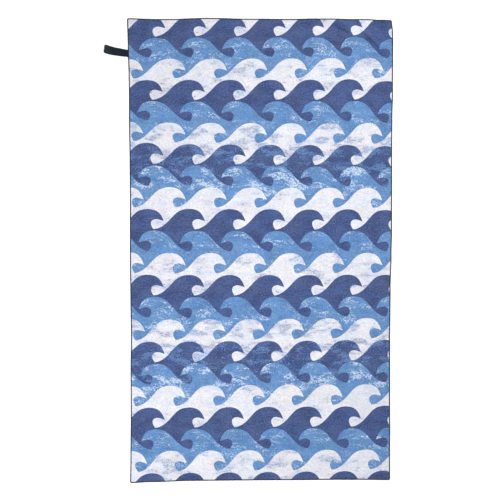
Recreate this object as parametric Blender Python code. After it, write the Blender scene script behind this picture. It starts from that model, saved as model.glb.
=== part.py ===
# A microfibre beach towel, lying flat and face up, with a folded hanging loop at its left edge.
# Metres. X runs across the towel, Y along it towards the loop's end, and Z up from the surface it lies on.
# The origin is the centre of the towel's underside.

import math
from collections import namedtuple

import bpy

CUT_WIDTH = 0.900
CUT_LENGTH = 1.600
CLOTH_THICKNESS = 0.0012
CORNER_RADIUS = 0.009
FOLD_TAPER = 0.35  # share of a fold's length over which each end dies away
CLOTH_COLOUR = (0.30, 0.42, 0.66)  # the print's three colours, averaged
CLOTH_ROUGHNESS = 0.85

LOOP_BELOW_TOP = 0.1215  # from the cut top edge to the middle of the loop's root
LOOP_REACH = 0.0845  # from the cloth's edge to the outside of the loop's fold
LOOP_TAIL = 0.011  # how far each end of the strap runs in under the cloth
STRAP_WIDTH = 0.025
STRAP_THICKNESS = 0.0010
STRAP_EDGE = 0.0003  # bevel along the strap's edges
PLY_GAP = 0.0003  # between the strap's two plies at the root, and between strap and cloth
LOOP_HEIGHT = 0.0086  # top of the upper ply, near the fold
LOOP_HEADING = math.radians(8.5)  # turned from -X towards +Y at the root
LOOP_BEND_START = 0.038  # the strap runs straight as far as this, then bends sideways
LOOP_BEND_ANGLE = math.radians(12.0)
LOOP_FAN = 0.0032  # how far each ply is swung to its own side at the fold
NOSE_LENGTH = 0.0095  # of the half ellipse round the fold
NOSE_STEPS = 10
PLY_STEP = 0.006  # between cross-sections along the plies
RISE_START = 0.008  # the upper ply leaves the lower one here
STRAP_COLOUR = (0.012, 0.018, 0.028)
STRAP_ROUGHNESS = 0.75

SHARP_ANGLE = math.radians(40)  # edges steeper than this are shaded sharp

PAD_MARGIN = 0.020  # the cloth stays at its raised height this far around the tails
PAD_SLOPE = 0.042  # and comes back down to the surface over this distance

# Spacing of the cloth's mesh: narrow near the top edge, where most of the folds are.
COLUMN_STEP = 0.016
TOP_BAND = 0.204
TOP_STEP = 0.012
BODY_STEP = 0.045
END_BAND = 0.110
END_STEP = 0.022

# Where the relaxed edges lie outside the cut rectangle, at shares of the edge's length.
Station = namedtuple("Station", "share out")

LEFT_EDGE = (  # shares run from the bottom corner to the top corner
    Station(share=0.00, out=0.0020),
    Station(share=0.06, out=0.0010),
    Station(share=0.15, out=0.0000),
    Station(share=0.25, out=0.0006),
    Station(share=0.31, out=-0.0005),
    Station(share=0.50, out=0.0030),
    Station(share=0.60, out=0.0028),
    Station(share=0.68, out=0.0036),
    Station(share=0.78, out=0.0058),
    Station(share=0.84, out=0.0062),
    Station(share=0.88, out=0.0074),
    Station(share=0.93, out=0.0096),
    Station(share=1.00, out=0.0126),
)
RIGHT_EDGE = (
    Station(share=0.00, out=-0.0042),
    Station(share=0.30, out=-0.0038),
    Station(share=0.42, out=-0.0022),
    Station(share=0.49, out=0.0006),
    Station(share=0.54, out=0.0028),
    Station(share=0.72, out=0.0032),
    Station(share=0.79, out=0.0040),
    Station(share=0.84, out=0.0058),
    Station(share=0.94, out=0.0066),
    Station(share=0.97, out=0.0062),
    Station(share=1.00, out=0.0020),
)
TOP_EDGE = (  # shares run from the left corner to the right corner
    Station(share=0.00, out=0.0002),
    Station(share=0.10, out=-0.0028),
    Station(share=0.18, out=-0.0024),
    Station(share=0.30, out=0.0013),
    Station(share=0.44, out=-0.0014),
    Station(share=0.60, out=-0.0024),
    Station(share=0.72, out=-0.0010),
    Station(share=0.86, out=-0.0028),
    Station(share=0.91, out=-0.0029),
    Station(share=0.95, out=-0.0054),
    Station(share=1.00, out=-0.0070),
)
BOTTOM_EDGE = (
    Station(share=0.00, out=0.0060),
    Station(share=0.08, out=0.0034),
    Station(share=0.24, out=-0.0010),
    Station(share=0.36, out=-0.0018),
    Station(share=0.46, out=-0.0030),
    Station(share=0.60, out=-0.0034),
    Station(share=0.85, out=-0.0050),
    Station(share=1.00, out=-0.0038),
)

# Soft folds: low ridges that start at an edge and die away inside the towel.
Fold = namedtuple("Fold", "start end height half_width")

FOLDS = (
    Fold(start=(-0.398, 0.830), end=(-0.385, 0.700), height=0.0032, half_width=0.032),
    Fold(start=(-0.262, 0.835), end=(-0.240, 0.690), height=0.0042, half_width=0.038),
    Fold(start=(-0.118, 0.830), end=(-0.128, 0.710), height=0.0028, half_width=0.032),
    Fold(start=(0.020, 0.830), end=(0.012, 0.715), height=0.0026, half_width=0.034),
    Fold(start=(0.168, 0.835), end=(0.190, 0.690), height=0.0040, half_width=0.036),
    Fold(start=(0.215, 0.815), end=(0.345, 0.722), height=0.0046, half_width=0.024),
    Fold(start=(0.330, 0.800), end=(0.420, 0.672), height=0.0046, half_width=0.024),
    Fold(start=(0.410, 0.850), end=(0.478, 0.690), height=0.0052, half_width=0.036),
    Fold(start=(0.520, 0.560), end=(0.360, 0.490), height=0.0032, half_width=0.045),
    Fold(start=(0.520, 0.000), end=(0.330, -0.085), height=0.0036, half_width=0.055),
    Fold(start=(0.510, -0.585), end=(0.350, -0.640), height=0.0030, half_width=0.050),
    Fold(start=(-0.510, 0.470), end=(-0.370, 0.410), height=0.0030, half_width=0.050),
    Fold(start=(-0.510, -0.190), end=(-0.350, -0.250), height=0.0032, half_width=0.055),
    Fold(start=(-0.480, -0.850), end=(-0.350, -0.700), height=0.0044, half_width=0.042),
    Fold(start=(-0.060, -0.840), end=(-0.030, -0.720), height=0.0028, half_width=0.045),
    Fold(start=(0.290, -0.840), end=(0.335, -0.690), height=0.0034, half_width=0.045),
)


def soft_step(t):
    t = min(max(t, 0.0), 1.0)
    return t * t * (3.0 - 2.0 * t)


def edge_out(stations, share):
    """The outward offset at a share of an edge, eased from one station to the next."""
    for low, high in zip(stations, stations[1:]):
        if share <= high.share:
            ease = soft_step((share - low.share) / (high.share - low.share))
            return low.out + (high.out - low.out) * ease
    return stations[-1].out


def fold_height(fold, x, y):
    """A ridge that is round across and dies away at both ends."""
    run_x, run_y = fold.end[0] - fold.start[0], fold.end[1] - fold.start[1]
    length = math.hypot(run_x, run_y)
    along = ((x - fold.start[0]) * run_x + (y - fold.start[1]) * run_y) / length**2
    across = abs((x - fold.start[0]) * run_y - (y - fold.start[1]) * run_x) / length
    ends = soft_step(along / FOLD_TAPER) * soft_step((1.0 - along) / FOLD_TAPER)
    return fold.height * ends * soft_step(1.0 - across / fold.half_width)


def loop_root():
    """The middle of the loop's root, on the cloth's left edge."""
    y = CUT_LENGTH / 2 - LOOP_BELOW_TOP
    share = y / CUT_LENGTH + 0.5
    return -CUT_WIDTH / 2 - edge_out(LEFT_EDGE, share), y


def pad_height(x, y):
    """The cloth's rise over the strap's two tails."""
    root_x, root_y = loop_root()
    over = 2 * STRAP_THICKNESS + 2 * PLY_GAP
    beyond_x = max(x - (root_x + LOOP_TAIL), 0.0)
    beyond_y = max(abs(y - root_y) - STRAP_WIDTH / 2, 0.0)
    clear = math.hypot(beyond_x, beyond_y)
    return over * soft_step(1.0 - (clear - PAD_MARGIN) / PAD_SLOPE)


def cloth_lift(x, y):
    """How far the underside of the cloth stands off the surface."""
    return max(sum(fold_height(fold, x, y) for fold in FOLDS), pad_height(x, y))


def round_corner(from_side, from_end):
    """Bends a square corner into an arc, given the distances in from its two edges."""
    if from_side >= CORNER_RADIUS or from_end >= CORNER_RADIUS:
        return from_side, from_end
    p, q = 1.0 - from_side / CORNER_RADIUS, 1.0 - from_end / CORNER_RADIUS
    return (
        CORNER_RADIUS * (1.0 - p * math.sqrt(1.0 - q * q / 2)),
        CORNER_RADIUS * (1.0 - q * math.sqrt(1.0 - p * p / 2)),
    )


def cloth_point(across, along):
    """The place in plan of a point at a distance across and along the cut rectangle."""
    side = across if across < CUT_WIDTH / 2 else CUT_WIDTH - across
    end = along if along < CUT_LENGTH / 2 else CUT_LENGTH - along
    side, end = round_corner(side, end)
    across = side if across < CUT_WIDTH / 2 else CUT_WIDTH - side
    along = end if along < CUT_LENGTH / 2 else CUT_LENGTH - end
    u, v = across / CUT_WIDTH, along / CUT_LENGTH
    left = -CUT_WIDTH / 2 - edge_out(LEFT_EDGE, v)
    right = CUT_WIDTH / 2 + edge_out(RIGHT_EDGE, v)
    bottom = -CUT_LENGTH / 2 - edge_out(BOTTOM_EDGE, u)
    top = CUT_LENGTH / 2 + edge_out(TOP_EDGE, u)
    return left + (right - left) * u, bottom + (top - bottom) * v


def evenly(start, end, step):
    """Distances from start up to, but not including, end, in equal steps of about the given size."""
    count = max(round((end - start) / step), 1)
    return [start + (end - start) * i / count for i in range(count)]


def plain_material(name, colour, roughness):
    material = bpy.data.materials.new(name)
    material.use_nodes = True
    shader = material.node_tree.nodes["Principled BSDF"]
    shader.inputs["Base Color"].default_value = (*colour, 1.0)
    shader.inputs["Roughness"].default_value = roughness
    shader.inputs["Metallic"].default_value = 0.0
    return material


def add_piece(name, vertices, faces, material):
    mesh = bpy.data.meshes.new(name)
    mesh.from_pydata(vertices, [], faces)
    mesh.materials.append(material)
    mesh.shade_smooth()
    mesh.set_sharp_from_angle(angle=SHARP_ANGLE)
    piece = bpy.data.objects.new(name, mesh)
    bpy.context.scene.collection.objects.link(piece)
    return piece


def make_cloth():
    """The towel panel: a sheet on a grid, with an underside, a face and a rim."""
    columns = evenly(0.0, CUT_WIDTH, COLUMN_STEP) + [CUT_WIDTH]
    rows = evenly(0.0, END_BAND, END_STEP) + evenly(END_BAND, CUT_LENGTH - TOP_BAND, BODY_STEP)
    rows += evenly(CUT_LENGTH - TOP_BAND, CUT_LENGTH, TOP_STEP) + [CUT_LENGTH]
    wide, deep = len(columns), len(rows)
    plan = [cloth_point(across, along) for along in rows for across in columns]
    underside = [(x, y, cloth_lift(x, y)) for x, y in plan]
    face = [(x, y, z + CLOTH_THICKNESS) for x, y, z in underside]
    above = len(underside)
    faces = []
    for row in range(deep - 1):
        for column in range(wide - 1):
            a = row * wide + column
            b, c, d = a + 1, a + wide + 1, a + wide
            faces.append((d, c, b, a))
            faces.append((above + a, above + b, above + c, above + d))
    bottom = list(range(wide))
    right = [row * wide + wide - 1 for row in range(deep)]
    top = [(deep - 1) * wide + column for column in reversed(range(wide))]
    left = [row * wide for row in reversed(range(deep))]
    border = bottom[:-1] + right[:-1] + top[:-1] + left[:-1]
    for a, b in zip(border, border[1:] + border[:1]):
        faces.append((a, b, above + b, above + a))
    cloth_print = plain_material("printed_microfibre", CLOTH_COLOUR, CLOTH_ROUGHNESS)
    return add_piece("towel_cloth", underside + face, faces, cloth_print)


def strap_route():
    """The strap's middle line: lower tail, round the fold, upper tail, as (reach, height, side).

    Side is 1 on the lower ply and -1 on the upper one, for the way each ply swings at the fold.
    """
    half = STRAP_THICKNESS / 2
    low, high = half, LOOP_HEIGHT - half
    upper_root = low + STRAP_THICKNESS + PLY_GAP
    nose_start = LOOP_REACH - half - NOSE_LENGTH

    route = [(reach, low, 1.0) for reach in evenly(-LOOP_TAIL, nose_start, PLY_STEP)]
    for i in range(NOSE_STEPS + 1):
        turn = math.pi * i / NOSE_STEPS
        height = (low + high) / 2 - (high - low) / 2 * math.cos(turn)
        route.append((nose_start + NOSE_LENGTH * math.sin(turn), height, math.cos(turn)))
    for reach in reversed(evenly(-LOOP_TAIL, nose_start, PLY_STEP)):
        rise = soft_step((reach - RISE_START) / (nose_start - RISE_START))
        route.append((reach, upper_root + (high - upper_root) * rise, -1.0))
    return route


def strap_section():
    """The strap's cross-section, sideways and through its thickness, with bevelled edges."""
    half_wide, half_thick = STRAP_WIDTH / 2, STRAP_THICKNESS / 2
    flat_wide, flat_thick = half_wide - STRAP_EDGE, half_thick - STRAP_EDGE
    right = [(half_wide, -flat_thick), (half_wide, flat_thick), (flat_wide, half_thick)]
    left = [(-flat_wide, half_thick), (-half_wide, flat_thick), (-half_wide, -flat_thick)]
    return right + left + [(-flat_wide, -half_thick), (flat_wide, -half_thick)]


def make_loop():
    """One strap folded in half, swept along its route."""
    root_x, root_y = loop_root()
    outward = (-math.cos(LOOP_HEADING), math.sin(LOOP_HEADING))
    sideways = (math.sin(LOOP_HEADING), math.cos(LOOP_HEADING))
    bend = math.tan(LOOP_BEND_ANGLE) / (2 * (LOOP_REACH - LOOP_BEND_START))
    section, route = strap_section(), strap_route()
    vertices = []
    for i, (reach, height, side) in enumerate(route):
        before, after = route[max(i - 1, 0)], route[min(i + 1, len(route) - 1)]
        run, rise = after[0] - before[0], after[1] - before[1]
        length = math.hypot(run, rise)
        swing = LOOP_FAN * side * max(reach, 0.0) / LOOP_REACH
        shift = bend * max(reach - LOOP_BEND_START, 0.0) ** 2 + swing
        for wide, thick in section:
            out, off = reach - thick * rise / length, shift + wide
            x = root_x + outward[0] * out + sideways[0] * off
            y = root_y + outward[1] * out + sideways[1] * off
            vertices.append((x, y, height + thick * run / length))
    ring = len(section)
    faces = []
    for i in range(len(route) - 1):
        for j in range(ring):
            a, b = i * ring + j, i * ring + (j + 1) % ring
            faces.append((a, a + ring, b + ring, b))
    faces.append(tuple(range(ring)))
    faces.append(tuple(reversed(range(len(vertices) - ring, len(vertices)))))
    webbing = plain_material("dark_webbing", STRAP_COLOUR, STRAP_ROUGHNESS)
    return add_piece("hang_loop", vertices, faces, webbing)


for leftover in list(bpy.data.objects):
    bpy.data.objects.remove(leftover)

make_cloth()
make_loop()
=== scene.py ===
# Microfibre beach towel lying flat and face up, with its folded hanging loop at the left edge.
# Metres. X runs across the towel, Y along it towards the loop's end, and Z up from the floor.

import math

import bpy
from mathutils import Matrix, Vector


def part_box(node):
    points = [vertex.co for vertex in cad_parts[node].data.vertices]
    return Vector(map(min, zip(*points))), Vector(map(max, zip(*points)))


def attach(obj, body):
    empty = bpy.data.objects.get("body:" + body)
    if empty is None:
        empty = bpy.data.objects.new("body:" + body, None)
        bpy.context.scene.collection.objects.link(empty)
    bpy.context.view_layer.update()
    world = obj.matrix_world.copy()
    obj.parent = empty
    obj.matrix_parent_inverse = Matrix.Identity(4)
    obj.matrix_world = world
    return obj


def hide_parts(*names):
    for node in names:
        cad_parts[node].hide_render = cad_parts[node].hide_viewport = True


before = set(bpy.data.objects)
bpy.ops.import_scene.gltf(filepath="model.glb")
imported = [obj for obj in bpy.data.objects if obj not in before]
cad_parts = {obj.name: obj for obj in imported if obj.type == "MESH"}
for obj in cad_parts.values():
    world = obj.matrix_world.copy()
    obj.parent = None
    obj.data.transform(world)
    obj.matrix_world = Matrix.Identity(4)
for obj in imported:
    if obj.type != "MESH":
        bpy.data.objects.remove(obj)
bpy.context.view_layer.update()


towel = {
    "cutWidth": 0.900,
    "cutLength": 1.600,
    "thickness": 0.0012,
    "cornerRadius": 0.005,
    "foldTaper": 0.35,  # share of a fold's length over which each end dies away
    "cell": 0.0078,
    "fineCell": 0.0034,  # where the narrow creases are
    "fineAcross": 0.660,
    "fineAlong": 1.460,
    "edgeLines": (0.0, 0.0010, 0.0020, 0.0030, 0.0040, 0.0050, 0.0072, 0.0110),
    "hemRise": 0.0005,  # the stitched edge stands this much off the floor
    "hemSlope": 0.014,
}

# How far each relaxed edge lies outside the cut rectangle: share of the edge, millimetres.
leftEdge = [(0.00, 2.0), (0.06, 1.0), (0.15, 0.0), (0.25, 0.6), (0.31, -0.5)]
leftEdge += [(0.50, 3.0), (0.60, 2.8), (0.68, 3.6), (0.78, 5.8), (0.84, 6.2)]
leftEdge += [(0.88, 7.4), (0.93, 9.6), (1.00, 12.6)]
rightEdge = [(0.00, -4.2), (0.30, -3.8), (0.42, -2.2), (0.49, 0.6), (0.54, 2.8)]
rightEdge += [(0.72, 3.2), (0.79, 4.0), (0.84, 5.8), (0.94, 6.6), (0.97, 6.2), (1.00, 2.0)]
topEdge = [(0.00, 0.2), (0.10, -2.8), (0.18, -2.4), (0.30, 1.3), (0.44, -1.4)]
topEdge += [(0.60, -2.4), (0.72, -1.0), (0.86, -2.8), (0.91, -2.9), (0.95, -5.4), (1.00, -7.0)]
bottomEdge = [(0.00, 6.0), (0.08, 3.4), (0.24, -1.0), (0.36, -1.8), (0.46, -3.0)]
bottomEdge += [(0.60, -3.4), (0.85, -5.0), (1.00, -3.8)]

# Soft folds: start, end, height, half width.
folds = [
    ((-0.398, 0.830), (-0.385, 0.700), 0.0032, 0.032),
    ((-0.262, 0.835), (-0.240, 0.690), 0.0042, 0.038),
    ((-0.118, 0.830), (-0.128, 0.710), 0.0028, 0.032),
    ((0.020, 0.830), (0.012, 0.715), 0.0026, 0.034),
    ((0.168, 0.835), (0.190, 0.690), 0.0040, 0.036),
    ((0.190, 0.850), (0.372, 0.700), 0.0052, 0.042),
    ((0.318, 0.830), (0.445, 0.650), 0.0030, 0.040),
    ((0.410, 0.850), (0.478, 0.690), 0.0052, 0.036),
    ((0.520, 0.560), (0.360, 0.490), 0.0032, 0.045),
    ((0.520, 0.000), (0.330, -0.085), 0.0036, 0.055),
    ((0.510, -0.585), (0.350, -0.640), 0.0030, 0.050),
    ((-0.510, 0.470), (-0.370, 0.410), 0.0030, 0.050),
    ((-0.510, -0.190), (-0.350, -0.250), 0.0032, 0.055),
    ((-0.480, -0.850), (-0.350, -0.700), 0.0044, 0.042),
    ((-0.060, -0.840), (-0.030, -0.720), 0.0028, 0.045),
    ((0.290, -0.840), (0.335, -0.690), 0.0034, 0.045),
]

# Narrow creases near one corner: start, end, height (below zero for a trough), half width.
creases = [
    ((0.229, 0.786), (0.312, 0.738), -0.0050, 0.0105),
    ((0.336, 0.776), (0.430, 0.682), 0.0050, 0.0110),
]

loop = {
    "belowTop": 0.1215,  # from the cut top edge to the middle of the loop's root
    "reach": 0.0845,
    "tail": 0.011,
    "width": 0.025,
    "thickness": 0.0010,
    "plyGap": 0.0003,
    "height": 0.0086,
    "heading": math.radians(8.5),  # turned from -X towards +Y
    "bendStart": 0.038,
    "bendAngle": math.radians(12.0),
    "fan": 0.0032,
    "noseLength": 0.0095,
    "noseSteps": 84,
    "riseStart": 0.008,
    "ribPitch": 0.0011,
    "ribDepth": 0.00006,
    "edgeSteps": 4,
    "flatSteps": 3,
    "ribbedBeyond": 0.0004,  # from the tape's middle, so that its edges stay smooth
    "padMargin": 0.020,
    "padSlope": 0.042,
}


def softStep(t):
    t = min(max(t, 0.0), 1.0)
    return t * t * (3.0 - 2.0 * t)


def eased(stations, place):
    if place <= stations[0][0]:
        return stations[0][1]
    for (low, lowValue), (high, highValue) in zip(stations, stations[1:]):
        if place <= high:
            share = softStep((place - low) / (high - low))
            return lowValue + (highValue - lowValue) * share
    return stations[-1][1]


def edgeOut(stations, share):
    return eased(stations, share) / 1000


def foldHeight(fold, x, y):
    (startX, startY), (endX, endY), height, halfWidth = fold
    runX, runY = endX - startX, endY - startY
    length = math.hypot(runX, runY)
    across = abs((x - startX) * runY - (y - startY) * runX) / length
    if across >= halfWidth:
        return 0.0
    along = ((x - startX) * runX + (y - startY) * runY) / length**2
    taper = towel["foldTaper"]
    ends = softStep(along / taper) * softStep((1.0 - along) / taper)
    return height * ends * softStep(1.0 - across / halfWidth)


def loopRoot():
    y = towel["cutLength"] / 2 - loop["belowTop"]
    share = y / towel["cutLength"] + 0.5
    return -towel["cutWidth"] / 2 - edgeOut(leftEdge, share), y


rootX, rootY = loopRoot()


# The cloth's rise over the strap's two tails.
def padHeight(x, y):
    over = 2 * loop["thickness"] + 2 * loop["plyGap"]
    beyondX = max(x - (rootX + loop["tail"]), 0.0)
    beyondY = max(abs(y - rootY) - loop["width"] / 2, 0.0)
    clear = math.hypot(beyondX, beyondY)
    return over * softStep(1.0 - (clear - loop["padMargin"]) / loop["padSlope"])


def clothLift(x, y):
    lift = max(sum(foldHeight(fold, x, y) for fold in folds), padHeight(x, y))
    return max(lift + sum(foldHeight(crease, x, y) for crease in creases), 0.0)


def roundCorner(fromSide, fromEnd):
    radius = towel["cornerRadius"]
    if fromSide >= radius or fromEnd >= radius:
        return fromSide, fromEnd
    p, q = 1.0 - fromSide / radius, 1.0 - fromEnd / radius
    return (
        radius * (1.0 - p * math.sqrt(1.0 - q * q / 2)),
        radius * (1.0 - q * math.sqrt(1.0 - p * p / 2)),
    )


# Where a point of the cut rectangle lies in plan.
def clothPoint(across, along):
    width, length = towel["cutWidth"], towel["cutLength"]
    side = min(across, width - across)
    end = min(along, length - along)
    side, end = roundCorner(side, end)
    across = side if across < width / 2 else width - side
    along = end if along < length / 2 else length - end
    u, v = across / width, along / length
    left = -width / 2 - edgeOut(leftEdge, v)
    right = width / 2 + edgeOut(rightEdge, v)
    bottom = -length / 2 - edgeOut(bottomEdge, u)
    top = length / 2 + edgeOut(topEdge, u)
    return left + (right - left) * u, bottom + (top - bottom) * v


# Grid lines across a side: close together beside both edges and past fineStart.
def gridLines(size, fineStart):
    close = list(towel["edgeLines"])
    lines = list(close)
    stretches = [(fineStart, towel["cell"]), (size - close[-1], towel["fineCell"])]
    for end, cell in stretches:
        start = lines[-1]
        count = round((end - start) / cell)
        lines += [start + (end - start) * i / count for i in range(1, count + 1)]
    return lines + [size - line for line in reversed(close[:-1])]


printLay = {
    "firstRow": 0.00935,  # the first row's wave tops lie this far above the cut top edge
    "rowPitch": 0.075,
    "wavesPerMetre": 6.86,  # at the left edge
    "narrowing": 0.485,  # waves get closer together towards the right
    "leftWave": -0.4565,
    "leftEdge": -0.4533,
    # Where the print's sag at the sides sets in, and where it is full.
    "leftSag": (-0.31, -0.40),
    "rightSag": (0.375, 0.43),
    "rightRise": (0.14, 0.27),
    "leftSqueeze": (-0.415, -0.445),
    # What the drift's lean and bow across the cloth are shared out over.
    "leanSpan": 1.55,
    "bowSpan": 1.2,
}
# How far the rows have crept, and how they tilt, by distance below the top edge: millimetres.
rowCreep = [(0.00, -1.4), (0.22, 3.3), (0.44, 3.9), (0.67, 5.7), (0.89, 3.2)]
rowCreep += [(1.12, 0.2), (1.34, -2.9), (1.48, -2.5), (1.59, -3.2)]
rowTilt = [(0.10, -1.0), (0.28, -0.4), (0.44, 3.6), (0.60, 2.6), (0.85, 0.4)]
rowTilt += [(1.10, -3.0), (1.48, -3.4), (1.59, -5.0)]
# How far the print has shifted to the right on the left, middle and right of the cloth.
leftDrift = [(0.03, 1.5), (0.11, -1.4), (0.19, -6.4), (0.26, -8.2), (0.45, -5.6)]
leftDrift += [(0.75, -4.4), (1.00, -4.6), (1.12, -1.0), (1.35, -0.5), (1.52, 3.0)]
leftDrift += [(1.59, 8.0)]
middleDrift = [(0.03, 0.0), (0.11, 1.7), (0.20, -0.5), (0.55, -1.7), (0.85, -3.4)]
middleDrift += [(0.97, -7.0), (1.10, -8.6)]
rightDrift = [(0.03, -1.7), (0.11, 3.5), (0.27, 3.5), (0.36, 0.0), (0.55, -1.2)]
rightDrift += [(0.90, -1.7), (1.00, -4.5), (1.10, -6.8), (1.45, -6.9), (1.58, -12.0)]
# How far it sags close to the two sides, and is pressed inwards at the left edge.
leftSag = [(0.19, 1.5), (0.25, -1.0), (0.36, -3.5), (0.44, -3.5), (0.54, 1.5), (0.66, 1.5)]
leftSag += [(0.78, -2.0), (0.92, -1.0), (1.02, -2.0), (1.17, 1.5), (1.26, 1.5), (1.32, 0.0)]
rightSag = [(0.03, 9.5), (0.10, 5.5), (0.15, 4.0), (0.20, 5.0), (0.33, 5.0), (0.40, 1.5)]
rightSag += [(0.60, 1.0), (0.82, -1.0), (1.07, -1.5), (1.18, -0.5), (1.33, -1.5)]
rightSag += [(1.45, -1.5), (1.52, 0.0)]
rightRise = [(1.15, 1.4), (1.30, 0.0), (1.45, -1.2), (1.55, 0.3)]  # inwards of the sag
leftSqueeze = [(0.12, 0.0), (0.20, 4.0), (0.68, 4.0), (1.02, 3.0), (1.08, 0.0)]


def shareBetween(x, limits):
    start, full = limits
    return softStep((x - start) / (full - start))


# Waves across and rows down, counted from the first wave top.
def printPlace(x, y):
    side = x / (towel["cutWidth"] / 2)
    down = towel["cutLength"] / 2 - y
    left, middle, right = (eased(d, down) for d in (leftDrift, middleDrift, rightDrift))
    lean = (right - left) / printLay["leanSpan"]
    bow = (right + left - 2 * middle) / printLay["bowSpan"]
    squeeze = eased(leftSqueeze, down) * shareBetween(x, printLay["leftSqueeze"])
    drift = (middle + lean * side + bow * side * side + squeeze) / 1000
    out = x - drift - printLay["leftEdge"]
    waves = printLay["wavesPerMetre"] * out + printLay["narrowing"] * out * out
    creep = (eased(rowCreep, down) - eased(rowTilt, down) * side) / 1000
    sag = eased(leftSag, down) * shareBetween(x, printLay["leftSag"])
    atRight = shareBetween(x, printLay["rightSag"])
    sag += eased(rightSag, down) * atRight
    sag -= eased(rightRise, down) * (shareBetween(x, printLay["rightRise"]) - atRight)
    rows = (down + creep - sag / 1000 + printLay["firstRow"]) / printLay["rowPitch"]
    return waves + printLay["leftWave"], rows


def feed(tree, socket, value):
    if isinstance(value, bpy.types.NodeSocket):
        tree.links.new(value, socket)
    else:
        socket.default_value = value


def setInputs(node, values):
    for name, value in values.items():
        feed(node.id_data, node.inputs[name], value)


def addNode(tree, kind, inputs={}, **settings):
    node = tree.nodes.new(kind)
    for name, value in settings.items():
        setattr(node, name, value)
    setInputs(node, inputs)
    return node


def calc(tree, operation, *values):
    node = addNode(tree, "ShaderNodeMath", operation=operation)
    for socket, value in zip(node.inputs, values):
        feed(tree, socket, value)
    return node.outputs[0]


def times(tree, first, second):
    return calc(tree, "MULTIPLY", first, second)


def plus(tree, first, second):
    return calc(tree, "ADD", first, second)


def minus(tree, first, second):
    return calc(tree, "SUBTRACT", first, second)


def equals(tree, value, number):
    return calc(tree, "COMPARE", value, number, 0.4)


def spread(tree, value, low, high, toLow=0.0, toHigh=1.0, smooth=True):
    node = addNode(tree, "ShaderNodeMapRange")
    node.interpolation_type = "SMOOTHSTEP" if smooth else "LINEAR"
    for socket, number in zip(node.inputs[:5], (value, low, high, toLow, toHigh)):
        feed(tree, socket, number)
    return node.outputs[0]


def linear(tree, value, *limits):
    return spread(tree, value, *limits, smooth=False)


def mixColour(tree, share, first, second, blend="MIX"):
    node = addNode(tree, "ShaderNodeMix", data_type="RGBA", blend_type=blend)
    feed(tree, node.inputs[0], share)
    for socket, value in ((node.inputs[6], first), (node.inputs[7], second)):
        feed(tree, socket, (*value, 1.0) if isinstance(value, tuple) else value)
    return node.outputs[2]


def mixNumber(tree, share, first, second):
    node = addNode(tree, "ShaderNodeMix", data_type="FLOAT")
    for socket, value in zip(node.inputs[:1] + node.inputs[2:4], (share, first, second)):
        feed(tree, socket, value)
    return node.outputs[0]


# The colour whose turn it is: share runs from 0 to 1 over the list.
def picked(tree, share, colours):
    ramp = addNode(tree, "ShaderNodeValToRGB")
    ramp.color_ramp.interpolation = "CONSTANT"
    stops = ramp.color_ramp.elements
    stops.remove(stops[-1])
    for i, colour in enumerate(colours):
        stop = stops.new((i - 0.3) / len(colours)) if i else stops[0]
        stop.color = (*colour, 1.0)
    feed(tree, ramp.inputs[0], share)
    return ramp.outputs[0]


# Plain numbers as greys, for picked.
def alike(numbers):
    return [(number,) * 3 for number in numbers]


def joined(tree, x, y, z=0.0):
    return addNode(tree, "ShaderNodeCombineXYZ", {0: x, 1: y, 2: z}).outputs[0]


def scaled(tree, vector, size):
    factors = {0: vector, 1: size}
    return addNode(tree, "ShaderNodeVectorMath", factors, operation="MULTIPLY").outputs[0]


noiseSpan = (0.3, 0.7)  # most of a noise's values lie between these


def noiseNode(tree, vector, scale=1.0, detail=2.0, roughness=0.5, distortion=0.0):
    node = addNode(tree, "ShaderNodeTexNoise", {"Vector": vector, "Scale": scale})
    setInputs(node, {"Detail": detail, "Roughness": roughness, "Distortion": distortion})
    return node


def noise(tree, *settings):
    return noiseNode(tree, *settings).outputs[0]


def channels(tree, colour):
    return addNode(tree, "ShaderNodeSeparateColor", {0: colour}).outputs


def coordinates(tree, vector):
    return addNode(tree, "ShaderNodeSeparateXYZ", {0: vector}).outputs


# A colour made darker or lighter by a number.
def shaded(tree, colour, shade):
    grey = addNode(tree, "ShaderNodeCombineColor", {0: shade, 1: shade, 2: shade})
    return mixColour(tree, 1.0, colour, grey.outputs[0], blend="MULTIPLY")


def toScene(name, data):
    thing = bpy.data.objects.new(name, data)
    bpy.context.scene.collection.objects.link(thing)
    return thing


def newMaterial(name):
    material = bpy.data.materials.new(name)
    material.use_nodes = True
    tree = material.node_tree
    return material, tree, tree.nodes["Principled BSDF"]


def addBump(tree, height, distance, strength, under=None):
    inputs = {"Strength": strength, "Distance": distance, "Height": height}
    if under is not None:
        inputs["Normal"] = under
    return addNode(tree, "ShaderNodeBump", inputs).outputs[0]


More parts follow.
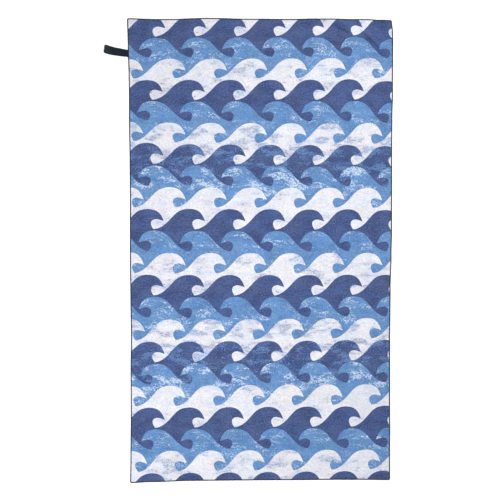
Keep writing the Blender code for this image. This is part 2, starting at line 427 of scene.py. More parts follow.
wavePrint = {
    # Each ink's darkest, palest and worn colours.
    "dark": ((0.024, 0.040, 0.121), (0.062, 0.164, 0.367), (0.590, 0.605, 0.680)),
    "pale": ((0.086, 0.132, 0.304), (0.160, 0.308, 0.566), (0.770, 0.770, 0.808)),
    "worn": ((0.125, 0.232, 0.455), (0.560, 0.665, 0.830), (0.235, 0.290, 0.450)),
    # How far the hue, the streaks and the grain swing in each ink.
    "hueSwing": (0.08, 0.065, 0.045),
    "lineTone": (1.2, 1.2, 2.3),
    "fineTone": (3.0, 2.6, 6.3),
    "fleck": 0.07,
    "stainedWhite": (0.205, 0.345, 0.600),  # where the blue shows through the worn white
    # One wave, in shares of a wave across and of a row down from its top.
    "trough": 0.926,
    "shoulder": 0.285,  # how much fuller than a plain swing the crest's back is
    "tipAcross": 0.385,
    "tipDown": 0.563,
    "dome": 0.262,  # how much of the front's fall is a plain round top
    "bayAcross": 0.210,
    "bayDown": 0.678,
    "bayHalfWidth": 0.134,
    "bayHalfHeight": 0.208,
    "roofCurve": 1.35,
    "bottomAcross": 0.135,
    # Powers that round off the back's shoulder, the front, and the bay above and below.
    "shoulderPowers": (3.0, 11.0),
    "frontPower": 5.2,
    "bayPowers": (2.6, 1.65),
    "wander": (0.010, 0.013),  # of the inks' edges, in waves and rows
    "bluePhase": 0.157,
    "whitePhase": 0.526,
    # How worn each of nine rows is, from the first navy row down.
    "rowWear": (0.15, 0.38, 0.46, 0.20, 0.38, 0.58, 0.64, 0.54, 0.36),
    "lowerWear": (0.0, 0.005, 0.085),  # each ink's wear low in its row, set against evenWear
    "evenWear": 0.05,
    "levelShare": 0.35,  # of the wear's streaks that run level instead of along the waves
    "grainShare": 0.66,
    # Each kind of mark: how its noise is stretched, then the noise's own settings.
    "wanderMarks": ((14.0, 9.0, 1.0), 5.0, 3.0),
    "streaks": ((4.6, 15.0, 1.0), 1.0, 3.0, 0.62, 0.35),
    "smudges": ((5.5, 13.0, 1.0), 1.0, 3.0, 0.62, 0.35),
    "grain": ((26.0, 16.5, 1.0), 1.0, 3.0, 0.8),
    "patches": ((2.3, 2.6, 1.0), 1.0, 2.0, 0.55),
    "hairs": ((1.8, 22.0, 1.0), 1.0, 1.0, 0.5, 0.2),
    "specks": ((34.0, 22.0, 1.0), 1.0, 1.0),
    "clouds": ((2.4, 1.9, 1.0), 1.0, 3.0),
    "cloudLimits": (0.32, 0.68),
    "cloudTone": 0.19,
    # So that no two rows wear alike.
    "rowShift": 7.31,
    "rowDepth": 60.0,
    "lowerRow": (0.90, 1.25),  # where a row's lower part sets in and is full, from its top
    "rowReach": 0.26,  # how far a row's wear widens its worn patches
    "mostWorn": (0.0, 0.7, 0.4, 1.0),  # from a row's wear to the most that its patches wear
    "patchLimits": (0.50, 0.82),
    "bareLimit": 0.64,
    "bareReach": 0.20,
    "rubbed": 0.15,  # the soft rim of a worn spot, as a share of its full wear
    "rubbedLimits": (-0.05, 0.02),
    "wornLimits": (0.0, 0.05),
    "speckWear": (0.34, 0.66, 0.6, 1.0),
    "hairLimits": (0.62, 0.70),
    "hairPatches": (0.40, 0.54),
    "hairGrain": (0.33, 0.58),
    "hairStrength": 0.95,
    "stainLimits": (0.48, 0.60),
}


# The running-wave repeat: one colour a row, navy, blue and white in turn, each row's
# waves in front of the row above. Every blue row runs the other way.
def makeWavePrint():
    tree = bpy.data.node_groups.new("runningWaves", "ShaderNodeTree")
    tree.interface.new_socket("Place", in_out="INPUT", socket_type="NodeSocketVector")
    tree.interface.new_socket("Colour", in_out="OUTPUT", socket_type="NodeSocketColor")
    start = addNode(tree, "NodeGroupInput")
    end = addNode(tree, "NodeGroupOutput")
    w = wavePrint
    place = start.outputs[0]

    def marks(vector, kind):
        stretch, *settings = w[kind]
        return noiseNode(tree, scaled(tree, vector, stretch), *settings)

    # the ink's edges wander slightly
    wanderAcross, wanderDown = w["wander"]
    wander = marks(place, "wanderMarks")
    inputs = {0: wander.outputs["Color"], 1: (2 * wanderAcross, 2 * wanderDown, 0.0), 2: place}
    wandered = addNode(tree, "ShaderNodeVectorMath", inputs, operation="MULTIPLY_ADD")
    across, down = coordinates(tree, wandered.outputs[0])[:2]
    across = minus(tree, across, wanderAcross)
    down = minus(tree, down, wanderDown)

    row = calc(tree, "FLOOR", down)
    y = minus(tree, down, row)
    kind = calc(tree, "FLOORED_MODULO", row, 3.0)
    isBlue = equals(tree, kind, 1.0)
    isWhite = equals(tree, kind, 2.0)
    mirror = calc(tree, "MULTIPLY_ADD", isBlue, -2.0, 1.0)
    phase = times(tree, isWhite, w["whitePhase"])
    phase = calc(tree, "MULTIPLY_ADD", isBlue, w["bluePhase"], phase)
    run = times(tree, minus(tree, across, phase), mirror)
    u = calc(tree, "FRACT", run)

    # the wave's long back
    t = linear(tree, u, w["bottomAcross"], 1.0, 1.0, 0.0)
    inner, outer = w["shoulderPowers"]
    fuller = minus(tree, 1.0, calc(tree, "POWER", t, inner))
    fuller = calc(tree, "POWER", fuller, outer)
    lean = times(tree, t, calc(tree, "MULTIPLY_ADD", fuller, -w["shoulder"], 1.0))
    swing = calc(tree, "COSINE", times(tree, lean, math.pi))
    back = calc(tree, "MULTIPLY_ADD", swing, -w["trough"] / 2, w["trough"] / 2)
    onBack = calc(tree, "GREATER_THAN", y, back)

    # its front, down to the crest's tip
    reach = calc(tree, "DIVIDE", u, w["tipAcross"])
    front = times(tree, calc(tree, "POWER", reach, 2.0), w["dome"])
    steep = calc(tree, "POWER", reach, w["frontPower"])
    front = calc(tree, "MULTIPLY_ADD", steep, w["tipDown"] - w["dome"], front)
    onFront = calc(tree, "GREATER_THAN", y, front)
    onFront = times(tree, onFront, calc(tree, "LESS_THAN", u, w["tipAcross"]))

    # the round bay under the crest
    bayLeft = w["bayAcross"] - w["bayHalfWidth"]
    bayTop = w["bayDown"] - w["bayHalfHeight"]
    abovePower, belowPower = w["bayPowers"]
    above = linear(tree, y, w["bayDown"], bayTop)
    above = minus(tree, 1.0, calc(tree, "POWER", above, abovePower))
    bulge = calc(tree, "SQRT", above)
    bulge = calc(tree, "MULTIPLY_ADD", bulge, -w["bayHalfWidth"], w["bayAcross"])
    below = linear(tree, y, w["bayDown"], w["trough"])
    below = calc(tree, "POWER", below, belowPower)
    side = times(tree, below, w["bottomAcross"] - bayLeft)
    side = plus(tree, side, bulge)
    roof = linear(tree, u, w["bayAcross"], w["tipAcross"])
    roof = calc(tree, "POWER", roof, w["roofCurve"])
    roof = calc(tree, "MULTIPLY_ADD", roof, w["tipDown"] - bayTop, bayTop)
    underRoof = calc(tree, "GREATER_THAN", y, roof)
    inBay = times(tree, calc(tree, "GREATER_THAN", u, side), underRoof)
    hook = times(tree, onFront, minus(tree, 1.0, inBay))
    inside = calc(tree, "MAXIMUM", onBack, hook)

    # which row's ink lies here
    inkRow = minus(tree, plus(tree, row, inside), 1.0)
    ink = calc(tree, "FLOORED_MODULO", inkRow, 3.0)
    # block-print wear: streaks that follow the waves' outlines, grain and a few long scratches
    nine = calc(tree, "DIVIDE", calc(tree, "FLOORED_MODULO", inkRow, 9.0), 9.0)
    rowWear = picked(tree, nine, alike(w["rowWear"]))
    third = calc(tree, "DIVIDE", ink, 3.0)
    inkBlue = equals(tree, ink, 1.0)
    inkWhite = equals(tree, ink, 2.0)

    shift = times(tree, inkRow, w["rowShift"])
    hill = minus(tree, y, calc(tree, "MINIMUM", front, back))
    level = joined(tree, across, down, times(tree, nine, w["rowDepth"]))
    flow = joined(tree, run, hill, shift)
    streaks = marks(flow, "streaks").outputs[0]
    smudges = marks(level, "smudges").outputs[0]
    grain = marks(level, "grain").outputs[0]
    patches = marks(level, "patches").outputs[0]
    hairs = marks(flow, "hairs").outputs[0]
    specks = marks(level, "specks")
    speckHues = channels(tree, specks.outputs["Color"])
    lines = mixNumber(tree, w["levelShare"], streaks, smudges)
    lines = mixNumber(tree, inkWhite, lines, smudges)
    texture = mixNumber(tree, w["grainShare"], lines, grain)

    # each ink's own tone and hue
    clouds = marks(level, "clouds")
    hues = channels(tree, clouds.outputs["Color"])
    swing = w["cloudTone"]
    cloudTone = linear(tree, hues[0], *w["cloudLimits"], -swing, swing)
    lineTone = minus(tree, lines, 0.5)
    lineTone = times(tree, lineTone, picked(tree, third, alike(w["lineTone"])))
    fineTone = minus(tree, grain, 0.5)
    fineTone = times(tree, fineTone, picked(tree, third, alike(w["fineTone"])))
    tone = plus(tree, plus(tree, lineTone, fineTone), 0.5)
    tone = plus(tree, tone, cloudTone)
    colour = mixColour(tree, tone, picked(tree, third, w["dark"]), picked(tree, third, w["pale"]))
    hueSwing = picked(tree, third, alike(w["hueSwing"]))
    warmth = linear(tree, hues[1], *noiseSpan, -1.0, 1.0)
    warmth = times(tree, warmth, hueSwing)

    def fleck(channel):
        swing = w["fleck"]
        return linear(tree, channel, *noiseSpan, 1.0 - swing, 1.0 + swing)

    red = plus(tree, fleck(speckHues[1]), warmth)
    blue = minus(tree, fleck(speckHues[2]), warmth)
    cast = addNode(tree, "ShaderNodeCombineColor", {0: red, 1: fleck(speckHues[0]), 2: blue})
    colour = mixColour(tree, 1.0, colour, cast.outputs[0], blend="MULTIPLY")

    # worn patches, bare where the texture is high in them
    lower = spread(tree, minus(tree, down, inkRow), *w["lowerRow"])
    more = minus(tree, picked(tree, third, alike(w["lowerWear"])), w["evenWear"])
    amount = calc(tree, "MULTIPLY_ADD", lower, more, patches)
    amount = calc(tree, "MULTIPLY_ADD", rowWear, w["rowReach"], amount)
    most = spread(tree, rowWear, *w["mostWorn"])
    amount = times(tree, spread(tree, amount, *w["patchLimits"]), most)
    edge = calc(tree, "MULTIPLY_ADD", amount, -w["bareReach"], w["bareLimit"])
    bare = minus(tree, texture, edge)
    rubbed = spread(tree, bare, *w["rubbedLimits"], 0.0, w["rubbed"])
    worn = spread(tree, bare, *w["wornLimits"], 0.0, 1.0 - w["rubbed"])
    worn = plus(tree, rubbed, worn)

    # long scratches, in the blue alone
    scratch = spread(tree, hairs, *w["hairLimits"])
    scratch = times(tree, scratch, spread(tree, patches, *w["hairPatches"]))
    scratch = times(tree, scratch, spread(tree, grain, *w["hairGrain"]))
    strength = times(tree, inkBlue, w["hairStrength"])
    scratch = times(tree, scratch, strength)
    worn = calc(tree, "MAXIMUM", worn, scratch)
    worn = times(tree, worn, spread(tree, specks.outputs[0], *w["speckWear"]))
    stain = times(tree, spread(tree, hues[2], *w["stainLimits"]), inkWhite)
    wornColour = mixColour(tree, stain, picked(tree, third, w["worn"]), w["stainedWhite"])
    colour = mixColour(tree, worn, colour, wornColour)
    setInputs(end, {"Colour": colour})
    return tree


microfibre = {
    "roughness": (0.84, 0.94),
    "finish": {"Sheen Weight": 0.05, "Sheen Roughness": 0.55, "Specular IOR Level": 0.25},
    "backPrint": 0.16,  # how much of the print shows on the back
    "backColour": (0.62, 0.64, 0.69),
    "threadShadow": (0.030, 0.035, 0.052),
    "shadowLimits": (0.0024, 0.0039, 0.85, 0.0),  # in from the edge, and how strong there
    "napNoise": (1500.0, 3.0, 0.7),
    "napShade": (0.14, 0.93),  # how much the nap's noise counts, and the shade without it
    "napBump": (0.00012, 0.7),  # depth and strength
    "brushScale": (22.0, 9.0, 9.0),
    "brushNoise": (1.0, 4.0, 0.6),
    "brushShade": (0.975, 1.025),
    "knitScale": 180.0,
    "knitBend": 1.5,
    "knitBump": (0.00006, 0.5),
}


# Short-napped microfibre: the print on the face, its ghost on the back.
def microfibreMaterial(name, waves, back=False):
    material, tree, shader = newMaterial(name)
    m = microfibre
    lay = addNode(tree, "ShaderNodeUVMap", uv_map="printLay")
    group = addNode(tree, "ShaderNodeGroup", {"Place": lay.outputs[0]}, node_tree=waves)
    place = addNode(tree, "ShaderNodeTexCoord").outputs["Object"]

    nap = noise(tree, place, *m["napNoise"])
    brushed = noise(tree, scaled(tree, place, m["brushScale"]), *m["brushNoise"])
    inputs = {"Vector": place, "Scale": m["knitScale"], "Distortion": m["knitBend"]}
    knit = addNode(tree, "ShaderNodeTexWave", inputs, bands_direction="DIAGONAL")

    colour = group.outputs["Colour"]
    if back:
        colour = mixColour(tree, m["backPrint"], m["backColour"], colour)
    shade = calc(tree, "MULTIPLY_ADD", nap, *m["napShade"])
    shade = times(tree, shade, linear(tree, brushed, *noiseSpan, *m["brushShade"]))
    colour = shaded(tree, colour, shade)
    edge = addNode(tree, "ShaderNodeAttribute", attribute_name="fromEdge").outputs["Fac"]
    shadow = spread(tree, edge, *m["shadowLimits"])
    colour = mixColour(tree, shadow, colour, m["threadShadow"])
    rough = linear(tree, nap, *noiseSpan, *m["roughness"])
    normal = addBump(tree, knit.outputs["Fac"], *m["knitBump"])
    normal = addBump(tree, nap, *m["napBump"], under=normal)
    setInputs(shader, {"Base Color": colour, "Roughness": rough, "Normal": normal, **m["finish"]})
    return material


# The flat layout for textures: margins, and where the face, the back and the rim lie.
flatLay = {
    "margin": 0.003,
    "height": 0.994,
    "faceLeft": 0.004,
    "faceWidth": 0.558,
    "backRight": 0.996,
    "backWidth": 0.420,
    "rimLeft": 0.566,
    "rimWidth": 0.004,
}


# Sets a UV map from a function of face and corner.
def paintUV(mesh, name, cornerPlace):
    layer = mesh.uv_layers.new(name=name)
    flat = []
    for polygon in mesh.polygons:
        for corner in polygon.loop_indices:
            flat.extend(cornerPlace(polygon, mesh.loops[corner].vertex_index))
    layer.uv.foreach_set("vector", flat)


def addPiece(name, vertices, faces, materials):
    mesh = bpy.data.meshes.new(name)
    mesh.from_pydata(vertices, [], faces)
    for material in materials:
        mesh.materials.append(material)
    mesh.shade_smooth()
    return toScene(name, mesh)


def makeTowel(waves):
    columns = gridLines(towel["cutWidth"], towel["fineAcross"])
    rows = gridLines(towel["cutLength"], towel["fineAlong"])
    wide, deep = len(columns), len(rows)
    under, face, lay, fromEdge = [], [], [], []
    for along in rows:
        for across in columns:
            x, y = clothPoint(across, along)
            inward = min(across, towel["cutWidth"] - across, along, towel["cutLength"] - along)
            lift = clothLift(x, y) + towel["hemRise"] * softStep(1.0 - inward / towel["hemSlope"])
            under.append((x, y, lift))
            face.append((x, y, lift + towel["thickness"]))
            lay.append(printPlace(x, y))
            fromEdge.append(inward)
    above = len(under)
    faces, backFaces = [], []
    for row in range(deep - 1):
        for column in range(wide - 1):
            a = row * wide + column
            b, c, d = a + 1, a + wide + 1, a + wide
            faces.append((above + a, above + b, above + c, above + d))
            backFaces.append((d, c, b, a))
    bottom = list(range(wide))
    right = [row * wide + wide - 1 for row in range(deep)]
    top = [(deep - 1) * wide + column for column in reversed(range(wide))]
    left = [row * wide for row in reversed(range(deep))]
    border = bottom[:-1] + right[:-1] + top[:-1] + left[:-1]
    rim = [(a, b, above + b, above + a) for a, b in zip(border, border[1:] + border[:1])]
    printed = microfibreMaterial("printedMicrofibre", waves)
    plain = microfibreMaterial("microfibreBack", waves, back=True)
    piece = addPiece("towel", under + face, faces + backFaces + rim, [printed, plain])
    mesh = piece.data
    for polygon in mesh.polygons[len(faces) : len(faces) + len(backFaces)]:
        polygon.material_index = 1

    lay = lay + lay
    paintUV(mesh, "printLay", lambda polygon, vertex: lay[vertex])
    attribute = mesh.attributes.new("fromEdge", "FLOAT", "POINT")
    attribute.data.foreach_set("value", fromEdge + fromEdge)

    # face left, back right, the rim in a strip between them
    low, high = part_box("towel_cloth")
    spanX, spanY = high[0] - low[0], high[1] - low[1]
    frontCount, rimStart = len(faces), len(faces) + len(backFaces)
    rimPlace = {vertex: i / len(border) for i, vertex in enumerate(border)}
    f = flatLay

    def flatPlace(polygon, vertex):
        x, y, z = mesh.vertices[vertex].co
        shareX = min(max((x - low[0]) / spanX, 0.0), 1.0)
        shareY = f["margin"] + f["height"] * min(max((y - low[1]) / spanY, 0.0), 1.0)
        if polygon.index < frontCount:
            return f["faceLeft"] + f["faceWidth"] * shareX, shareY
        if polygon.index < rimStart:
            return f["backRight"] - f["backWidth"] * shareX, shareY
        first = rimPlace[polygon.vertices[0]]
        share = rimPlace[vertex % above]
        if share < first:
            share += 1.0  # the last rim face closes the ring
        across = f["rimLeft"] + (f["rimWidth"] if vertex >= above else 0.0)
        return across, f["margin"] + f["height"] * share

    paintUV(mesh, "OFBake", flatPlace)
    mesh.uv_layers.active = mesh.uv_layers["printLay"]
    # clockwise seen from above, so that a stitch's own Y points outwards
    path = [Vector(under[i]) * 0.5 + Vector(face[i]) * 0.5 for i in reversed(border)]
    return piece, path


waves = makeWavePrint()
towelPiece, rimPath = makeTowel(waves)
print("towel cloth made:", len(towelPiece.data.polygons), "faces")


overlock = {
    "sizes": {
        "Pitch": 0.00202,
        "Reach": 0.0033,  # how far the stitches come in from the edge
        "Overhang": 0.00014,
        "Half Height": 0.00082,  # of the thread's middle line, from the cloth's middle
        "Slant": 0.0011,
        "Thread Width": 0.00164,
        "Thread Thickness": 0.00042,
    },
    "seed": 7,
    "steps": 6,
    "corners": 6,
    # The handles that bend a stitch round the edge, in shares of its other sizes.
    "handleReach": 0.5,
    "handleRise": 1.65,
    "handleSlant": 0.4,
    "threadColour": (0.018, 0.021, 0.033),
    "finish": {"Roughness": 0.72, "Specular IOR Level": 0.35},
    "stitchShade": (0.45, 0.75),  # how much stitches differ in shade, and the darkest of them
    "fibreNoise": (2600.0, 2.0, 0.6),
    "fibreShade": (0.7, 1.35),
    "fibreBump": (0.00008, 0.8),
}
needleLine = {
    "sizes": {"Pitch": 0.00202, "Thread Width": 0.00055},
    "inset": 0.0033,
    "steps": 4,
    "corners": 5,
    # How far its ends dip and its middle bows, in widths of its thread.
    "dip": -0.55,
    "bow": 0.9,
    "seed": 11,
}
# How far a stitch's length, reach and height may vary.
stitchVariation = {
    "least": (0.88, 0.94, 0.94),
    "most": (1.12, 1.05, 1.08),
}


def threadMaterial(name):
    material, tree, shader = newMaterial(name)
    place = addNode(tree, "ShaderNodeTexCoord").outputs["Object"]
    own = addNode(tree, "ShaderNodeAttribute", attribute_name="threadShade").outputs["Fac"]
    fibres = noise(tree, place, *overlock["fibreNoise"])
    shade = calc(tree, "MULTIPLY_ADD", own, *overlock["stitchShade"])
    shade = times(tree, shade, linear(tree, fibres, *noiseSpan, *overlock["fibreShade"]))
    colour = shaded(tree, overlock["threadColour"], shade)
    normal = addBump(tree, fibres, *overlock["fibreBump"])
    setInputs(shader, {"Base Color": colour, "Normal": normal, **overlock["finish"]})
    return material


def newStitchTree(name, sizes):
    tree = bpy.data.node_groups.new(name, "GeometryNodeTree")
    tree.is_modifier = True
    tree.interface.new_socket("Geometry", in_out="INPUT", socket_type="NodeSocketGeometry")
    for size in sizes:
        tree.interface.new_socket(size, in_out="INPUT", socket_type="NodeSocketFloat")
    tree.interface.new_socket("Seed", in_out="INPUT", socket_type="NodeSocketInt")
    tree.interface.new_socket("Thread", in_out="INPUT", socket_type="NodeSocketMaterial")
    tree.interface.new_socket("Geometry", in_out="OUTPUT", socket_type="NodeSocketGeometry")
    return tree, addNode(tree, "NodeGroupInput"), addNode(tree, "NodeGroupOutput")


def ring(tree, corners, radius):
    size = {"Resolution": corners, "Radius": radius}
    return addNode(tree, "GeometryNodeCurvePrimitiveCircle", size, mode="RADIUS").outputs[0]


def tube(tree, curve, outline):
    inputs = {"Curve": curve, "Profile Curve": outline, "Fill Caps": True}
    return addNode(tree, "GeometryNodeCurveToMesh", inputs).outputs[0]


# A short flattened thread along a curve, its flat side facing out.
def threadAlong(tree, curve, width, thickness):
    outline = ring(tree, overlock["corners"], 0.5)
    inputs = {"Geometry": outline, "Scale": joined(tree, width, thickness, 1.0)}
    flat = addNode(tree, "GeometryNodeTransform", inputs)
    inputs = {"Curve": curve, "Normal": (1.0, 0.0, 0.0)}
    turned = addNode(tree, "GeometryNodeSetCurveNormal", inputs, mode="FREE")
    return tube(tree, turned.outputs[0], flat.outputs[0])


# Copies a stitch along the path, its own X along the path and its own Y outwards.
def repeatStitch(tree, start, end, stitch):
    seed = start.outputs["Seed"]
    path = addNode(tree, "GeometryNodeMeshToCurve", {0: start.outputs["Geometry"]})
    inputs = {"Curve": path.outputs[0], "Length": start.outputs["Pitch"]}
    steps = addNode(tree, "GeometryNodeResampleCurve", inputs, mode="LENGTH")
    heading = addNode(tree, "GeometryNodeInputTangent").outputs[0]
    inputs = {0: heading, 1: (0.0, 0.0, 1.0)}
    turn = addNode(tree, "FunctionNodeAxesToRotation", inputs, primary_axis="X", secondary_axis="Z")
    inputs = {0: stitchVariation["least"], 1: stitchVariation["most"], "Seed": seed}
    vary = addNode(tree, "FunctionNodeRandomValue", inputs, data_type="FLOAT_VECTOR")
    inputs = {"Points": steps.outputs[0], "Instance": stitch, "Rotation": turn.outputs[0]}
    copies = addNode(tree, "GeometryNodeInstanceOnPoints", inputs)
    setInputs(copies, {"Scale": vary.outputs[0]})
    shade = addNode(tree, "FunctionNodeRandomValue", {"Seed": seed}, data_type="FLOAT")
    keep = addNode(tree, "GeometryNodeStoreNamedAttribute", data_type="FLOAT", domain="INSTANCE")
    inputs = {"Geometry": copies.outputs[0], "Name": "threadShade", "Value": shade.outputs[1]}
    setInputs(keep, inputs)
    real = addNode(tree, "GeometryNodeRealizeInstances", {0: keep.outputs[0]})
    inputs = {"Geometry": real.outputs[0], "Material": start.outputs["Thread"]}
    dressed = addNode(tree, "GeometryNodeSetMaterial", inputs)
    setInputs(end, {"Geometry": dressed.outputs[0]})


def overlockTree():
    tree, start, end = newStitchTree("overlockStitches", overlock["sizes"])
    size = start.outputs
    inner = times(tree, size["Reach"], -1.0)
    # the handles stand past the edge, so that the thread wraps round it
    outer = calc(tree, "MULTIPLY_ADD", size["Reach"], overlock["handleReach"], size["Overhang"])
    wide = times(tree, size["Half Height"], overlock["handleRise"])
    half = times(tree, size["Slant"], -0.5)
    lean = overlock["handleSlant"]
    points = (
        (half, inner, times(tree, size["Half Height"], -1.0)),
        (times(tree, half, lean), outer, times(tree, wide, -1.0)),
        (times(tree, half, -lean), outer, wide),
        (times(tree, half, -1.0), inner, size["Half Height"]),
    )
    wrap = addNode(tree, "GeometryNodeCurvePrimitiveBezierSegment", mode="POSITION")
    setInputs(wrap, {"Resolution": overlock["steps"]})
    for name, point in zip(("Start", "Start Handle", "End Handle", "End"), points):
        setInputs(wrap, {name: joined(tree, *point)})
    stitch = threadAlong(tree, wrap.outputs[0], size["Thread Width"], size["Thread Thickness"])
    repeatStitch(tree, start, end, stitch)
    return tree


def needleTree():
    tree, start, end = newStitchTree("needleStitches", needleLine["sizes"])
    size = start.outputs
    reach = times(tree, size["Pitch"], 0.5)
    dip = times(tree, size["Thread Width"], needleLine["dip"])
    bow = times(tree, size["Thread Width"], needleLine["bow"])
    steps = {"Resolution": needleLine["steps"]}
    arc = addNode(tree, "GeometryNodeCurveQuadraticBezier", steps)
    setInputs(arc, {"Start": joined(tree, times(tree, reach, -1.0), 0.0, dip)})
    setInputs(arc, {"Middle": joined(tree, 0.0, 0.0, bow), "End": joined(tree, reach, 0.0, dip)})
    outline = ring(tree, needleLine["corners"], times(tree, size["Thread Width"], 0.5))
    repeatStitch(tree, start, end, tube(tree, arc.outputs[0], outline))
    return tree


# Runs a stitch tree on a closed path and keeps the result as a plain mesh.
def stitchAlong(name, points, tree, stitch, thread):
    values = {**stitch["sizes"], "Seed": stitch["seed"], "Thread": thread}
    mesh = bpy.data.meshes.new(name)
    count = len(points)
    mesh.from_pydata(points, [(i, (i + 1) % count) for i in range(count)], [])
    guide = toScene(name + "Guide", mesh)
    modifier = guide.modifiers.new("stitches", "NODES")
    modifier.node_group = tree
    for item in tree.interface.items_tree:
        if item.in_out == "INPUT" and item.name in values:
            modifier[item.identifier] = values[item.name]
    guide.update_tag()
    solved = guide.evaluated_get(bpy.context.evaluated_depsgraph_get())
    result = bpy.data.meshes.new_from_object(solved)
    bpy.data.objects.remove(guide)
    result.name = name
    result.shade_smooth()
    return toScene(name, result)


# The rim's path moved in from the edge and up onto the face.
def insetPath(points, inset):
    moved = []
    count = len(points)
    for i, point in enumerate(points):
        ahead = points[(i + 1) % count] - points[i - 1]
        inward = Vector((ahead.y, -ahead.x, 0.0)).normalized()
        spot = point + inward * inset
        spot.z = clothLift(spot.x, spot.y) + towel["hemRise"] + towel["thickness"]
        moved.append(spot)
    return moved


thread = threadMaterial("overlockThread")
overlockPiece = stitchAlong("edgeOverlock", rimPath, overlockTree(), overlock, thread)
needlePath = insetPath(rimPath, needleLine["inset"])
needlePiece = stitchAlong("edgeNeedleLine", needlePath, needleTree(), needleLine, thread)
stitchFaces = len(overlockPiece.data.polygons) + len(needlePiece.data.polygons)
print("edge stitched:", stitchFaces, "faces")


webbing = {
    "colour": (0.0045, 0.0085, 0.0150),
    # the pale end: a painted highlight on the weave's crests, and also the tone of wear and the
    # firm edges
    "ribHighlightAndWear": (0.0120, 0.0190, 0.0300),
    "handled": (0.0290, 0.0330, 0.0400),
    "handledReach": (0.036, 0.004),  # from the fold: where it starts, and where it is full
    "finish": {"Roughness": 0.70, "Specular IOR Level": 0.12},
    "twillPitch": 0.0022,
    "twillBump": (0.00010, 0.8),
    "warpPitch": 0.0009,
    "twillShare": 0.5,  # of the relief
    "warpShare": 0.3,
    "chevrons": 6,
    "reliefLimits": (-0.6, 0.9),
    "fibreNoise": (2200.0, 3.0, 0.65),
    "fibreShade": (0.5, 1.2),
    "fibreBump": (0.00006, 0.6),
    "handledFibres": (0.3, 0.6, 0.6, 1.0),
    "wornNoise": (70.0, 3.0, 0.6),
    "wornLimits": (0.36, 0.66),
    "wornShare": 0.35,
    "firmEdge": (0.0016, 0.0004),  # in from the tape's edges, where the weave is firmer
    "firmLight": 0.25,
}


# Ribbed webbing tape: fine cross ribs, a chevron twill and firm edges, with the crests of the ribs
# and twill painted paler as a painted highlight.
def webbingMaterial(foldPlace):
    material, tree, shader = newMaterial("darkWebbing")
    w = webbing
    lay = addNode(tree, "ShaderNodeUVMap", uv_map="strapLay")
    across, along = coordinates(tree, lay.outputs[0])[:2]
    fold = calc(tree, "PINGPONG", across, loop["width"] / w["chevrons"])
    slant = plus(tree, along, fold)
    twill = calc(tree, "SINE", times(tree, slant, 2 * math.pi / w["twillPitch"]))
    warp = calc(tree, "SINE", times(tree, across, 2 * math.pi / w["warpPitch"]))
    place = addNode(tree, "ShaderNodeTexCoord").outputs["Object"]
    fibres = noise(tree, place, *w["fibreNoise"])
    worn = spread(tree, noise(tree, place, *w["wornNoise"]), *w["wornLimits"])
    relief = calc(tree, "MULTIPLY_ADD", twill, w["twillShare"], times(tree, warp, w["warpShare"]))
    # the relief's crests painted paler, a painted highlight; fibres, wear and the firm edges add
    # their own tone
    light = spread(tree, relief, *w["reliefLimits"])
    light = times(tree, light, linear(tree, fibres, *noiseSpan, *w["fibreShade"]))
    light = times(tree, light, 1.0 - w["wornShare"])
    light = calc(tree, "MULTIPLY_ADD", worn, w["wornShare"], light)
    edge = calc(tree, "ABSOLUTE", across)
    inner, outer = (loop["width"] / 2 - inset for inset in w["firmEdge"])
    light = plus(tree, light, spread(tree, edge, inner, outer, 0.0, w["firmLight"]))
    colour = mixColour(tree, light, w["colour"], w["ribHighlightAndWear"])
    # paler where fingers pull it, at the fold
    fromFold = calc(tree, "ABSOLUTE", minus(tree, along, foldPlace))
    handled = spread(tree, fromFold, *w["handledReach"])
    handled = times(tree, handled, linear(tree, fibres, *w["handledFibres"]))
    colour = mixColour(tree, handled, colour, w["handled"])
    normal = addBump(tree, relief, *w["twillBump"])
    normal = addBump(tree, fibres, *w["fibreBump"], under=normal)
    setInputs(shader, {"Base Color": colour, "Normal": normal, **w["finish"]})
    return material


# The strap's middle line: lower tail, round the fold, upper tail, as (reach, height, side).
def strapRoute():
    half = loop["thickness"] / 2
    low, high = half, loop["height"] - half
    upperRoot = low + loop["thickness"] + loop["plyGap"]
    noseStart = loop["reach"] - half - loop["noseLength"]
    step = loop["ribPitch"] / 4
    count = round((noseStart + loop["tail"]) / step)
    reaches = [-loop["tail"] + (noseStart + loop["tail"]) * i / count for i in range(count)]
    route = [(reach, low, 1.0) for reach in reaches]
    for i in range(loop["noseSteps"] + 1):
        turn = math.pi * i / loop["noseSteps"]
        height = (low + high) / 2 - (high - low) / 2 * math.cos(turn)
        route.append((noseStart + loop["noseLength"] * math.sin(turn), height, math.cos(turn)))
    for reach in reversed(reaches):
        rise = softStep((reach - loop["riseStart"]) / (noseStart - loop["riseStart"]))
        route.append((reach, upperRoot + (high - upperRoot) * rise, -1.0))
    return route


# Half of the tape's outline, sideways and through its thickness, with rounded edges.
def strapSection():
    halfThick = loop["thickness"] / 2
    flat = loop["width"] / 2 - halfThick
    edgeSteps, flatSteps = loop["edgeSteps"], loop["flatSteps"]
    section = []
    for i in range(edgeSteps + 1):
        turn = -math.pi / 2 + math.pi * i / edgeSteps
        section.append((flat + halfThick * math.cos(turn), halfThick * math.sin(turn)))
    section += [(flat * (1 - i / flatSteps), halfThick) for i in range(1, flatSteps)]
    section += [(0.0, halfThick)]
    section += [(-flat * i / flatSteps, halfThick) for i in range(1, flatSteps)]
    other = [(-wide, -thick) for wide, thick in section]
    return section, other


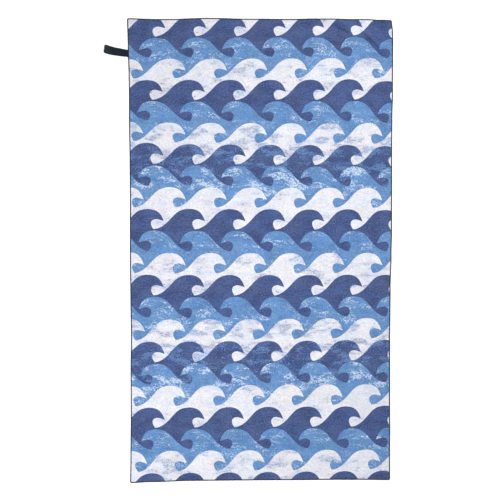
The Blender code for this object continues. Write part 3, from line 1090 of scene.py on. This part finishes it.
def makeLoop():
    heading = loop["heading"]
    outward = (-math.cos(heading), math.sin(heading))
    sideways = (math.sin(heading), math.cos(heading))
    bend = math.tan(loop["bendAngle"]) / (2 * (loop["reach"] - loop["bendStart"]))
    upperHalf, lowerHalf = strapSection()
    section, route = upperHalf + lowerHalf, strapRoute()
    vertices, lay = [], []
    distance = 0.0
    for i, (reach, height, side) in enumerate(route):
        before, after = route[max(i - 1, 0)], route[min(i + 1, len(route) - 1)]
        run, rise = after[0] - before[0], after[1] - before[1]
        length = math.hypot(run, rise)
        if i:
            distance += math.hypot(reach - route[i - 1][0], height - route[i - 1][1])
        rib = loop["ribDepth"] * (math.sin(2 * math.pi * distance / loop["ribPitch"]) - 1.0)
        swing = loop["fan"] * side * max(reach, 0.0) / loop["reach"]
        shift = bend * max(reach - loop["bendStart"], 0.0) ** 2 + swing
        for wide, thick in section:
            if abs(thick) > loop["ribbedBeyond"]:
                thick += math.copysign(rib, thick)
            out, off = reach - thick * rise / length, shift + wide
            x = rootX + outward[0] * out + sideways[0] * off
            y = rootY + outward[1] * out + sideways[1] * off
            vertices.append((x, y, height + thick * run / length))
            lay.append((wide, distance))
    ring = len(section)
    faces = []
    for i in range(len(route) - 1):
        for j in range(ring):
            a, b = i * ring + j, i * ring + (j + 1) % ring
            faces.append((a, a + ring, b + ring, b))
    faces.append(tuple(range(ring)))
    faces.append(tuple(reversed(range(len(vertices) - ring, len(vertices)))))
    piece = addPiece("hangingLoop", vertices, faces, [webbingMaterial(distance / 2)])
    paintUV(piece.data, "strapLay", lambda polygon, vertex: lay[vertex])
    return piece, distance


loopPiece, strapLength = makeLoop()
print("loop made from", round(strapLength, 4), "m of strap")


studio = {
    "floorFinish": {
        "Base Color": (0.92, 0.92, 0.92, 1.0),
        "Roughness": 0.9,
        "Specular IOR Level": 0.0,
        "Emission Color": (1.0, 1.0, 1.0, 1.0),
        "Emission Strength": 0.22,  # keeps the paper white where the lamps fall off
    },
    "floorHalf": 30.0,
    "floorDrop": 0.0004,
    "overhead": 0.255,  # the room's light from above, and the stronger one from low around
    "horizon": 0.86,
    "horizonBand": (0.16, 0.36),  # heights between which the one turns into the other
    "keyPower": 19.5,
    "keyPlace": (-0.02, 0.02, 1.35),
    "keyLength": 3.6,  # a long soft box over the towel's rising diagonal
    "keyWidth": 0.3,
    "keyTurn": math.radians(62),
    "sideStrength": 2.25,
    "sideTurn": (math.radians(54), 0.0, math.radians(135)),  # from the upper right
    "sideSoftness": math.radians(20),
    "cameraPlace": (-0.038, -0.001, 6.0),
    "cameraLens": 124.9,
    "cameraReach": 50.0,
}


def makeStudio():
    material, tree, shader = newMaterial("paleFloor")
    setInputs(shader, studio["floorFinish"])
    half, level = studio["floorHalf"], -studio["floorDrop"]
    corners = [(-half, -half), (half, -half), (half, half), (-half, half)]
    corners = [(x, y, level) for x, y in corners]
    floor = addPiece("floor", corners, [(0, 1, 2, 3)], [material])

    world = bpy.data.worlds.new("softRoom")
    bpy.context.scene.world = world
    world.use_nodes = True
    room = world.node_tree
    height = coordinates(room, addNode(room, "ShaderNodeTexCoord").outputs["Generated"])[2]
    low, high = studio["horizonBand"]
    glow = spread(room, height, low, high, studio["horizon"], studio["overhead"])
    setInputs(room.nodes["Background"], {"Color": (1.0, 1.0, 1.0, 1.0), "Strength": glow})

    lamp = bpy.data.lights.new("keyLight", "AREA")
    lamp.shape = "RECTANGLE"
    lamp.size = studio["keyLength"]
    lamp.size_y = studio["keyWidth"]
    lamp.energy = studio["keyPower"]
    key = toScene("keyLight", lamp)
    key.location = studio["keyPlace"]
    key.rotation_euler = (0.0, 0.0, studio["keyTurn"])

    # a broad side light that only models the folds
    sun = bpy.data.lights.new("sideLight", "SUN")
    sun.energy = studio["sideStrength"]
    sun.angle = studio["sideSoftness"]
    sun.use_shadow = False
    side = toScene("sideLight", sun)
    side.rotation_euler = studio["sideTurn"]

    lens = bpy.data.cameras.new("camera")
    lens.lens = studio["cameraLens"]
    lens.clip_end = studio["cameraReach"]
    camera = toScene("camera", lens)
    camera.location = studio["cameraPlace"]
    bpy.context.scene.camera = camera
    bpy.context.scene.view_settings.view_transform = "Standard"


makeStudio()
print("floor, light and camera placed")

for piece in (towelPiece, overlockPiece, needlePiece, loopPiece):
    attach(piece, "root")
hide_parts("towel_cloth")
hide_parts("hang_loop")
